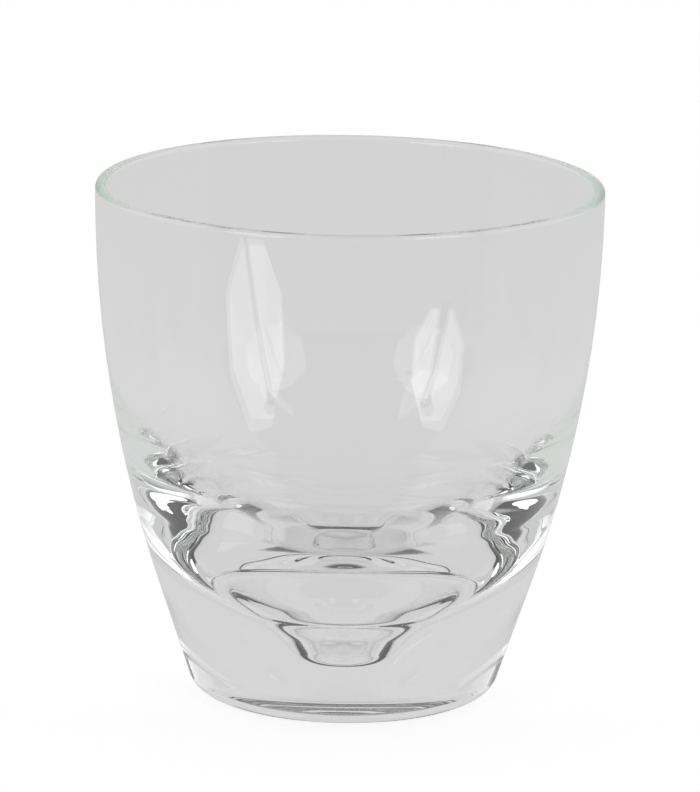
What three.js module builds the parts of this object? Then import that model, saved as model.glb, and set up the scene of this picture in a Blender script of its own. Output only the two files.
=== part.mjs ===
// A rocks glass of clear glass: a thin open bowl on a heavy solid base.
// Millimetres, +Z up. The origin is the centre of the flat underside and +Z is the axis of revolution.
import * as THREE from 'three';

// Outside: a cone from the foot that bends in one long arc into an upright rim.
const HEIGHT = 90;
const RIM_RADIUS = 44;
const SIDE_BEND_DROP = 36.5; // from the rim down to where the cone, drawn on, would meet the upright
const FOOT_RADIUS = 26.25; // where the cone, drawn on, would meet the table
const FOOT_ROUND = 2.8;

// Inside: a thin wall that thickens below its shoulder, a funnel-shaped floor that flattens towards the
// middle, and a small round dip there.
const RIM_WALL = 1.9;
const WALL_BEND_DROP = 17; // from the rim down to where the upright, drawn on, would meet the leaning wall
const WALL_BEND_ROUND = 15;
const SHOULDER_HEIGHT = 46.6; // where the thin wall, drawn on, would meet the funnel
const SHOULDER_WALL = 1.65;
const SHOULDER_ROUND = 11;
const FLOOR_EDGE_RADIUS = 24.5;
const FLOOR_EDGE_HEIGHT = 26;
const FLOOR_EDGE_ROUND = 10;
const FUNNEL_RADIUS = 12; // where the funnel flattens
const FUNNEL_HEIGHT = 18.8;
const FUNNEL_ROUND = 1;
const THROAT_RADIUS = 8.6; // where the funnel drops into the dip
const THROAT_HEIGHT = 17.4;
const THROAT_ROUND = 2.5;
const DIP_RADIUS = 4.2;
const DIP_HEIGHT = 10.05; // thickness of the glass under the dip
const DIP_ROUND = 2.8;

// Smoothness of the turned surfaces.
const SIDES = 64;
const STEPS_PER_ROUNDING = 6;

const GLASS_COLOUR = 0xe6e8e6;
const GLASS_ROUGHNESS = 0.02;
const GLASS_OPACITY = 0.35;

// A corner of an outline: radius from the axis, height, and how far from the corner its rounding begins.
function corner(radius, height, round = 0) {
  return { at: new THREE.Vector2(radius, height), round };
}

// The rounding that fits at a corner beside a neighbour: where both would not fit, they share the room.
function fittingRound(here, neighbour) {
  const room = here.at.distanceTo(neighbour.at);
  return here.round * Math.min(1, room / (here.round + neighbour.round));
}

// The arc that rounds one corner, as points from the side of `before` to the side of `after`.
function cornerArc(before, here, after) {
  const round = Math.min(fittingRound(here, before), fittingRound(here, after));
  const back = before.at.clone().sub(here.at).normalize();
  const ahead = after.at.clone().sub(here.at).normalize();
  const halfOpening = back.angleTo(ahead) / 2;
  const toCentre = back.clone().add(ahead).setLength(round / Math.cos(halfOpening));
  const centre = here.at.clone().add(toCentre);
  const spoke = here.at.clone().addScaledVector(back, round).sub(centre);
  const turn = (Math.PI - 2 * halfOpening) * Math.sign(ahead.cross(back));
  const origin = new THREE.Vector2();
  return Array.from({ length: STEPS_PER_ROUNDING + 1 }, (_, i) =>
    spoke.clone().rotateAround(origin, (turn * i) / STEPS_PER_ROUNDING).add(centre));
}

// An open outline with its corners rounded off. The two ends stay as they are.
function roundedOutline(corners) {
  return corners.flatMap((here, i) =>
    here.round > 0 ? cornerArc(corners[i - 1], here, corners[i + 1]) : [here.at.clone()]);
}

// Where an outline crosses a height, and how many of its points come before that.
function crossing(points, height) {
  const next = points.findIndex((point, i) => i > 0 && (points[i - 1].y - height) * (point.y - height) <= 0);
  const [from, to] = [points[next - 1], points[next]];
  const at = from.clone().lerp(to, (height - from.y) / (to.y - from.y));
  at.y = height;
  return { at, next };
}

// The outline without points that repeat the one before them.
function withoutRepeats(points) {
  return points.filter((point, i) => i === 0 || point.distanceTo(points[i - 1]) > 1e-6);
}

// A solid turned about +Z from an outline that runs anticlockwise, up the outside and down the inside.
function turned(name, outline) {
  const geometry = new THREE.LatheGeometry(withoutRepeats(outline), SIDES);
  geometry.rotateX(Math.PI / 2);
  const material = new THREE.MeshStandardMaterial({
    color: GLASS_COLOUR,
    roughness: GLASS_ROUGHNESS,
    metalness: 0,
    transparent: true,
    opacity: GLASS_OPACITY,
  });
  const mesh = new THREE.Mesh(geometry, material);
  mesh.name = name;
  return mesh;
}

const lipRound = RIM_WALL / 2;
const sideBendHeight = HEIGHT - SIDE_BEND_DROP;
const innerRimRadius = RIM_RADIUS - RIM_WALL;

// The outside from the middle of the foot to the top of the lip.
const outside = roundedOutline([
  corner(0, 0),
  corner(FOOT_RADIUS, 0, FOOT_ROUND),
  corner(RIM_RADIUS, sideBendHeight, SIDE_BEND_DROP - lipRound),
  corner(RIM_RADIUS, HEIGHT, lipRound),
  corner(RIM_RADIUS - lipRound, HEIGHT),
]);

// The inside from the top of the lip to the bottom of the dip.
const shoulderRadius = crossing(outside, SHOULDER_HEIGHT).at.x - SHOULDER_WALL;
const shoulder = corner(shoulderRadius, SHOULDER_HEIGHT, SHOULDER_ROUND);
const floorEdge = corner(FLOOR_EDGE_RADIUS, FLOOR_EDGE_HEIGHT, FLOOR_EDGE_ROUND);
const inside = roundedOutline([
  corner(innerRimRadius + lipRound, HEIGHT),
  corner(innerRimRadius, HEIGHT, lipRound),
  corner(innerRimRadius, HEIGHT - WALL_BEND_DROP, WALL_BEND_ROUND),
  shoulder,
  floorEdge,
  corner(FUNNEL_RADIUS, FUNNEL_HEIGHT, FUNNEL_ROUND),
  corner(THROAT_RADIUS, THROAT_HEIGHT, THROAT_ROUND),
  corner(DIP_RADIUS, DIP_HEIGHT, DIP_ROUND),
  corner(0, DIP_HEIGHT),
]);

// The bowl stands on the base where the rounding of the floor's edge runs into the wall.
const wallSlope = shoulder.at.clone().sub(floorEdge.at).normalize();
const seatHeight = FLOOR_EDGE_HEIGHT + FLOOR_EDGE_ROUND * wallSlope.y;
const seatOutside = crossing(outside, seatHeight);
const seatInside = crossing(inside, seatHeight);

function base() {
  return turned('base', [
    ...outside.slice(0, seatOutside.next),
    seatOutside.at,
    seatInside.at,
    ...inside.slice(seatInside.next),
  ]);
}

function bowl() {
  return turned('bowl', [
    seatOutside.at,
    ...outside.slice(seatOutside.next),
    ...inside.slice(0, seatInside.next),
    seatInside.at,
    seatOutside.at,
  ]);
}

const rocksGlass = new THREE.Group();
rocksGlass.add(base(), bowl());

export default rocksGlass;
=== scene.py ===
"""A clear rocks glass on a pale table, lit by studio umbrellas."""
import math

import bmesh
import bpy
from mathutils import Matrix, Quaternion, Vector, noise


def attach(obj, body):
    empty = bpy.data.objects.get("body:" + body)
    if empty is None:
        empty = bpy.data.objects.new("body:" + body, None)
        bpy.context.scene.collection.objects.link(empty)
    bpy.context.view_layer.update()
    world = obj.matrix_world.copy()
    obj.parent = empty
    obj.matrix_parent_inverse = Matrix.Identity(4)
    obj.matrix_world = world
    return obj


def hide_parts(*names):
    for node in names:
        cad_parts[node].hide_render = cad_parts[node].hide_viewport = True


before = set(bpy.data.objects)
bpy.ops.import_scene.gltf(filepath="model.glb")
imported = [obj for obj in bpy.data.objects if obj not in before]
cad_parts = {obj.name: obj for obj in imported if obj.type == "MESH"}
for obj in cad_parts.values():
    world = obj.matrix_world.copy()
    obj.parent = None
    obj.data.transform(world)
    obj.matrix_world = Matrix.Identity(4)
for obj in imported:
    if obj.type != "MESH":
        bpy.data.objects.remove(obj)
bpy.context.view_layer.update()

MM = 0.001

# The glass's outline, the same as the solids'. Corners are radius, height and where the rounding begins.
HEIGHT = 90 * MM
RIM_RADIUS = 44 * MM
RIM_WALL = 1.9 * MM
LIP_ROUND = RIM_WALL / 2
SIDE_BEND_DROP = 36.5 * MM
FOOT = (26.25 * MM, 0, 2.8 * MM)
WALL_BEND = (RIM_RADIUS - RIM_WALL, 73 * MM, 15 * MM)
SHOULDER = (38.2 * MM, 46.6 * MM, 11 * MM)
FLOOR_EDGE = (24.5 * MM, 26 * MM, 10 * MM)
FUNNEL = (12 * MM, 18.8 * MM, 1 * MM)
THROAT = (8.6 * MM, 17.4 * MM, 2.5 * MM)
DIP = (4.2 * MM, 10.05 * MM, 2.8 * MM)

# Fineness of the turned surface.
SIDES = 180
ARC_STEP = math.radians(3)
LONGEST_STEP = 0.5 * MM
NEGLIGIBLE = 1e-7

# Faint ripples across the inside of the wall, deeper where the wall thickens. The last two lines are the
# heights between which they grow and fade on the way down.
RIPPLE_DEPTH = 0.02 * MM
RIPPLE_HEIGHT = 2.4 * MM
RIPPLE_LENGTH = 20 * MM
RIPPLE_TOP_SHARE = 0.035
RIPPLE_GROWS = (58 * MM, 48 * MM)
RIPPLE_FADES = (30 * MM, 27 * MM)

GLASS_IOR = 1.52
GLASS_TINT = (0.9, 0.97, 0.91, 1)
GLASS_TINT_DENSITY = 1.5
LIGHT_BOUNCES = 1000  # light runs along inside the thin wall, and the rim's ends are dark without so many

# The table. Its greys are in linear light, where 1 is white. The camera sees it as white, with a shadow.
TABLE_FRONT, TABLE_BACK, TABLE_HALF_WIDTH = 0.085, 1.5, 1.5
TABLE_DROP = 0.1 * MM  # keeps it clear of the underside
TABLE_GREY = 0.72
TABLE_GREY_PAINTED_SHADE = 0.67  # painted shade round the glass, as the glass sees the table
TABLE_PAINTED_SHADE_REACH = (0.04, 0.15)  # where that painted shade begins to fade, and where it ends
TABLE_GLOSS_IOR = 1.49
TABLE_LIT = 0.8  # the part of its whiteness that the light on it makes
TABLE_GLOW = 0.74  # and the part that it has by itself

# The studio round the table, as the glass sees it: a backdrop, a ceiling, and a room in front that is pale up
# to a low height. The camera sees plain white.
BACKDROP_GREY = 0.67
BACKDROP_HALF_ANGLE = math.radians(108)
CEILING_GREY = 0.08
CEILING_START = math.radians(52)
ROOM_GREY = 0.06
ROOM_LOW_GREY = 0.58
ROOM_LOW_END = math.radians(10)
SOFT_EDGE = math.radians(3)

# Two pairs of umbrellas stand before the table, one lower than its top and one higher. The direction of the
# middle of each is in degrees: azimuth from the camera's side, and elevation. Then come half its width and
# height, the place of the lamp head on it, where the lamp's pole passes its edge, half the pole's width
# there, and the strengths that its panels take in turn.
UMBRELLA_DISTANCE = 1.3
UMBRELLA_RIBS = 8
LOW_STRENGTHS = (1.75, 2.0)
HIGH_STRENGTHS = (1.25, 1.45)
UMBRELLAS = {
    "umbrella_low_left": dict(
        azimuth=-43.5, elevation=-19.5, half_size=(0.315, 0.235), head_at=(0.125, -0.16),
        pole_end=(-0.085, 0.235), pole_half_width=0.02, strengths=LOW_STRENGTHS),
    "umbrella_low_right": dict(
        azimuth=43, elevation=-22.6, half_size=(0.28, 0.15), head_at=(-0.075, -0.087),
        pole_end=(0.04, 0.15), pole_half_width=0.055, strengths=LOW_STRENGTHS),
    "umbrella_high_left": dict(
        azimuth=-43, elevation=19, half_size=(0.4, 0.33), head_at=(0.125, 0.15),
        pole_end=(-0.085, -0.33), pole_half_width=0.02, strengths=HIGH_STRENGTHS),
    "umbrella_high_right": dict(
        azimuth=41, elevation=19, half_size=(0.4, 0.33), head_at=(-0.03, 0.15),
        pole_end=(0.09, -0.33), pole_half_width=0.03, strengths=HIGH_STRENGTHS),
}
# The lamp heads and poles glow at this grey in place of the light that falls on them: painted light.
LAMP_PAINTED_GREY = 0.35
HEAD_RADII = (0.07, 0.02)
HEAD_SIDES = 16
HEAD_GAP = 0.05  # from the canopy to the lamp before it
POLE_NECK = 0.01  # half the pole's width at the head

# The camera, from the photo: the middle of the glass is seen at TARGET_PIXEL.
IMAGE = (700, 792)
TARGET = Vector((0, 0, HEIGHT / 2))
TARGET_PIXEL = (347.2, 435.8)
CAMERA_DISTANCE = 0.999
CAMERA_ELEVATION = math.radians(14)
CAMERA_ROLL = math.radians(0.85)
SENSOR = 36
FOCAL_PIXELS = 5729


def rounded(corners):
    """The outline as points, with an arc at every corner that has a rounding."""
    points = []
    for i, (radius, height, reach) in enumerate(corners):
        at = Vector((radius, height))
        if not reach:
            points.append(at)
            continue
        back = (Vector(corners[i - 1][:2]) - at).normalized()
        ahead = (Vector(corners[i + 1][:2]) - at).normalized()
        half = back.angle(ahead) / 2
        centre = at + (back + ahead).normalized() * (reach / math.cos(half))
        spoke = at + back * reach - centre
        turn = (math.pi - 2 * half) * (1 if ahead.cross(back) > 0 else -1)
        steps = max(math.ceil(abs(turn) / ARC_STEP), math.ceil(abs(turn) * spoke.length / LONGEST_STEP))
        for k in range(steps + 1):
            c, s = math.cos(turn * k / steps), math.sin(turn * k / steps)
            points.append(centre + Vector((c * spoke.x - s * spoke.y, s * spoke.x + c * spoke.y)))
    return points


def with_shorter_steps(points):
    """The same outline with its long straight runs divided."""
    divided = [points[0]]
    for start, end in zip(points[:-1], points[1:]):
        length = (end - start).length
        if length < NEGLIGIBLE:
            continue
        pieces = max(1, math.ceil(length / LONGEST_STEP))
        divided += [start.lerp(end, k / pieces) for k in range(1, pieces + 1)]
    return divided


def turned(name, outline):
    """A closed body turned about the axis from an outline that starts and ends on it."""
    mesh = bmesh.new()
    angles = [2 * math.pi * k / SIDES for k in range(SIDES)]
    rings = []
    for radius, height in outline:
        if radius < NEGLIGIBLE:
            rings.append([mesh.verts.new((0, 0, height))] * SIDES)
        else:
            places = [(radius * math.cos(a), radius * math.sin(a), height) for a in angles]
            rings.append([mesh.verts.new(place) for place in places])
    for lower, upper in zip(rings[:-1], rings[1:]):
        for k in range(SIDES):
            n = (k + 1) % SIDES
            loop = [lower[k], lower[n], upper[n], upper[k]]
            face = mesh.faces.new([v for i, v in enumerate(loop) if v not in loop[:i]])
            face.smooth = True
    data = bpy.data.meshes.new(name)
    mesh.to_mesh(data)
    mesh.free()
    piece = bpy.data.objects.new(name, data)
    bpy.context.scene.collection.objects.link(piece)
    return piece


def ramp(value, start, end):
    """0 at the start, 1 at the end, and even in between."""
    return min(1, max(0, (value - start) / (end - start)))


def add_ripples(piece):
    """Shifts the inside of the wall by faint level ripples, so that refracted edges run unevenly."""
    places = [(vertex.co.copy(), vertex.normal.copy()) for vertex in piece.data.vertices]
    for vertex, (at, normal) in zip(piece.data.vertices, places):
        faces_out = normal.x * at.x + normal.y * at.y >= 0
        if faces_out or at.z > HEIGHT - RIM_WALL:
            continue
        share = RIPPLE_TOP_SHARE + (1 - RIPPLE_TOP_SHARE) * ramp(at.z, *RIPPLE_GROWS)
        share *= 1 - ramp(at.z, *RIPPLE_FADES)
        wave = noise.noise((at.x / RIPPLE_LENGTH, at.y / RIPPLE_LENGTH, at.z / RIPPLE_HEIGHT))
        vertex.co = at + normal * RIPPLE_DEPTH * share * wave


def nodes_of(owner):
    """Empties the node tree of a material or world, and gives a function that adds and wires a node."""
    owner.use_nodes = True
    tree = owner.node_tree
    tree.nodes.clear()

    def add(kind, *inputs, **settings):
        node = tree.nodes.new(kind)
        for key, value in settings.items():
            setattr(node, key, value)
        for socket, value in inputs:
            if isinstance(value, bpy.types.NodeSocket):
                tree.links.new(value, node.inputs[socket])
            else:
                node.inputs[socket].default_value = value
        return node

    return add


def grey(level):
    """A colour without hue."""
    return (level, level, level, 1)


def glass_material():
    """Clear glass with the faintest green in its depth."""
    material = bpy.data.materials.new("clear_glass")
    add = nodes_of(material)
    surface = add("ShaderNodeBsdfPrincipled", ("Base Color", grey(1)), ("Roughness", 0), ("IOR", GLASS_IOR),
                  ("Transmission Weight", 1))
    depth = add("ShaderNodeVolumeAbsorption", ("Color", GLASS_TINT), ("Density", GLASS_TINT_DENSITY))
    add("ShaderNodeOutputMaterial", ("Surface", surface.outputs[0]), ("Volume", depth.outputs[0]))
    return material


def table_material():
    """Glossy and pale; white to the camera but for the shadow, and the studio's grey to the glass, with
    painted shade round the glass.
    """
    material = bpy.data.materials.new("table")
    add = nodes_of(material)
    rays = add("ShaderNodeLightPath")
    lit = add("ShaderNodeBsdfDiffuse", ("Color", grey(TABLE_LIT)))
    glow = add("ShaderNodeEmission", ("Color", grey(TABLE_GLOW)))
    shown = add("ShaderNodeAddShader", (0, lit.outputs[0]), (1, glow.outputs[0]))
    # As the glass sees it, the table glows darker near the glass: painted shade, not a cast shadow.
    place = add("ShaderNodeNewGeometry").outputs["Position"]
    distance = add("ShaderNodeVectorMath", (0, place), operation="LENGTH").outputs["Value"]
    level = add("ShaderNodeMapRange", ("Value", distance), ("From Min", TABLE_PAINTED_SHADE_REACH[0]),
                ("From Max", TABLE_PAINTED_SHADE_REACH[1]), ("To Min", TABLE_GREY_PAINTED_SHADE), ("To Max", TABLE_GREY))
    matt_and_painted_shade = add("ShaderNodeEmission", ("Strength", level.outputs[0]))
    gloss = add("ShaderNodeBsdfGlossy", ("Roughness", 0))
    fresnel = add("ShaderNodeFresnel", ("IOR", TABLE_GLOSS_IOR))
    studio = add("ShaderNodeMixShader", (0, fresnel.outputs[0]), (1, matt_and_painted_shade.outputs[0]), (2, gloss.outputs[0]))
    mix = add("ShaderNodeMixShader", (0, rays.outputs["Is Camera Ray"]), (1, studio.outputs[0]),
              (2, shown.outputs[0]))
    add("ShaderNodeOutputMaterial", ("Surface", mix.outputs[0]))
    return material


def emitting(name, strength):
    """A plain glowing material."""
    material = bpy.data.materials.new(name)
    add = nodes_of(material)
    glow = add("ShaderNodeEmission", ("Color", grey(1)), ("Strength", strength))
    add("ShaderNodeOutputMaterial", ("Surface", glow.outputs[0]))
    return material


def staged_mesh(name, vertices, faces, *materials):
    """A mesh that belongs to the studio. Its faces take the materials in turn."""
    data = bpy.data.meshes.new(name)
    data.from_pydata(vertices, [], faces)
    for material in materials:
        data.materials.append(material)
    for i, face in enumerate(data.polygons):
        face.material_index = i % len(materials)
    thing = bpy.data.objects.new(name, data)
    bpy.context.scene.collection.objects.link(thing)
    return thing


def umbrella(name, azimuth, elevation, half_size, head_at, pole_end, pole_half_width, strengths):
    """A lit canopy that faces the glass, with a lamp head on a pole before it. Hidden from the camera."""
    turn, tilt = math.radians(azimuth), math.radians(elevation)
    across = Vector((math.cos(turn), math.sin(turn), 0))
    ahead = Vector((math.sin(turn), -math.cos(turn), 0))
    towards = ahead * math.cos(tilt) + Vector((0, 0, math.sin(tilt)))
    up = towards.cross(across)

    def place(u, v, gap=0.0):
        return TARGET + towards * (UMBRELLA_DISTANCE - gap) + across * u + up * v

    def ring(u, v, radii, sides, gap=0.0):
        angles = [2 * math.pi * (k + 0.5) / sides for k in range(sides)]
        return [place(u + radii[0] * math.cos(a), v + radii[1] * math.sin(a), gap) for a in angles]

    rim = ring(0, 0, half_size, UMBRELLA_RIBS)
    panels = [(0, k + 1, (k + 1) % UMBRELLA_RIBS + 1) for k in range(UMBRELLA_RIBS)]
    cloths = [emitting(name + "_cloth", strength) for strength in strengths]
    canopy = staged_mesh(name + "_canopy", [place(*head_at)] + rim, panels, *cloths)

    head = ring(*head_at, HEAD_RADII, HEAD_SIDES, HEAD_GAP)
    (head_u, head_v), (end_u, end_v) = head_at, pole_end
    pole = [
        place(head_u - POLE_NECK, head_v, HEAD_GAP),
        place(head_u + POLE_NECK, head_v, HEAD_GAP),
        place(end_u + pole_half_width, end_v, HEAD_GAP),
        place(end_u - pole_half_width, end_v, HEAD_GAP),
    ]
    head_face = tuple(range(HEAD_SIDES))
    pole_face = tuple(range(HEAD_SIDES, HEAD_SIDES + len(pole)))
    # The lamp head and pole glow instead of being lit: painted light.
    lamp_painted_glow = emitting(name + "_metal", LAMP_PAINTED_GREY)
    lamp = staged_mesh(name + "_lamp", head + pole, [head_face, pole_face], lamp_painted_glow)
    for thing in (canopy, lamp):
        thing.visible_camera = False


def studio_world():
    """The backdrop, the ceiling and the room in front. The camera sees plain white."""
    world = bpy.data.worlds.new("studio")
    bpy.context.scene.world = world
    add = nodes_of(world)

    def maths(operation, *values):
        return add("ShaderNodeMath", *enumerate(values), operation=operation).outputs[0]

    def split(value, limit, below, above):
        """One colour while a value is below a limit and another above it, with a soft edge."""
        share = add("ShaderNodeMapRange", ("Value", value), ("From Min", limit - SOFT_EDGE),
                    ("From Max", limit + SOFT_EDGE), interpolation_type="SMOOTHSTEP")
        colour = add("ShaderNodeMixRGB", ("Fac", share.outputs[0]), ("Color1", below), ("Color2", above))
        return colour.outputs[0]

    rays = add("ShaderNodeLightPath")
    direction = add("ShaderNodeSeparateXYZ", (0, add("ShaderNodeTexCoord").outputs["Generated"]))
    azimuth = maths("ABSOLUTE", maths("ARCTAN2", direction.outputs["X"], direction.outputs["Y"]))
    elevation = maths("ARCSINE", direction.outputs["Z"])
    room = split(elevation, ROOM_LOW_END, grey(ROOM_LOW_GREY), grey(ROOM_GREY))
    walls = split(azimuth, BACKDROP_HALF_ANGLE, grey(BACKDROP_GREY), room)
    colour = split(elevation, CEILING_START, walls, grey(CEILING_GREY))
    studio = add("ShaderNodeBackground", ("Color", colour))
    shown = add("ShaderNodeBackground", ("Color", grey(1)))
    mix = add("ShaderNodeMixShader", (0, rays.outputs["Is Camera Ray"]), (1, studio.outputs[0]),
              (2, shown.outputs[0]))
    add("ShaderNodeOutputWorld", ("Surface", mix.outputs[0]))


def photo_camera():
    """A long lens a metre away, a little above the rim."""
    data = bpy.data.cameras.new("camera")
    data.sensor_width = SENSOR
    data.lens = FOCAL_PIXELS * SENSOR / max(IMAGE)
    camera = bpy.data.objects.new("camera", data)
    bpy.context.scene.collection.objects.link(camera)
    back = Vector((0, -math.cos(CAMERA_ELEVATION), math.sin(CAMERA_ELEVATION)))
    camera.location = TARGET + back * CAMERA_DISTANCE
    yaw = math.atan((TARGET_PIXEL[0] - IMAGE[0] / 2) / FOCAL_PIXELS)
    pitch = math.atan((TARGET_PIXEL[1] - IMAGE[1] / 2) / FOCAL_PIXELS)
    aim = (-back).to_track_quat("-Z", "Y")
    aim = aim @ Quaternion((0, 1, 0), yaw) @ Quaternion((1, 0, 0), pitch) @ Quaternion((0, 0, 1), CAMERA_ROLL)
    camera.rotation_mode = "QUATERNION"
    camera.rotation_quaternion = aim
    bpy.context.scene.camera = camera


scene = bpy.context.scene
scene.view_settings.view_transform = "Standard"
scene.cycles.max_bounces = LIGHT_BOUNCES
scene.cycles.transmission_bounces = LIGHT_BOUNCES
scene.cycles.glossy_bounces = LIGHT_BOUNCES

outline = with_shorter_steps(rounded([
    (0, 0, 0),
    FOOT,
    (RIM_RADIUS, HEIGHT - SIDE_BEND_DROP, SIDE_BEND_DROP - LIP_ROUND),
    (RIM_RADIUS, HEIGHT, LIP_ROUND),
    (RIM_RADIUS - RIM_WALL, HEIGHT, LIP_ROUND),
    WALL_BEND,
    SHOULDER,
    FLOOR_EDGE,
    FUNNEL,
    THROAT,
    DIP,
    (0, DIP[1], 0),
]))
glass = turned("glass", outline)
add_ripples(glass)
glass.data.materials.append(glass_material())
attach(glass, "root")
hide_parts("bowl", "base")

table_top = [(x, y, -TABLE_DROP) for x, y in (
    (-TABLE_HALF_WIDTH, -TABLE_FRONT), (TABLE_HALF_WIDTH, -TABLE_FRONT),
    (TABLE_HALF_WIDTH, TABLE_BACK), (-TABLE_HALF_WIDTH, TABLE_BACK))]
staged_mesh("table", table_top, [(0, 1, 2, 3)], table_material())
for name, layout in UMBRELLAS.items():
    umbrella(name, **layout)
studio_world()
photo_camera()
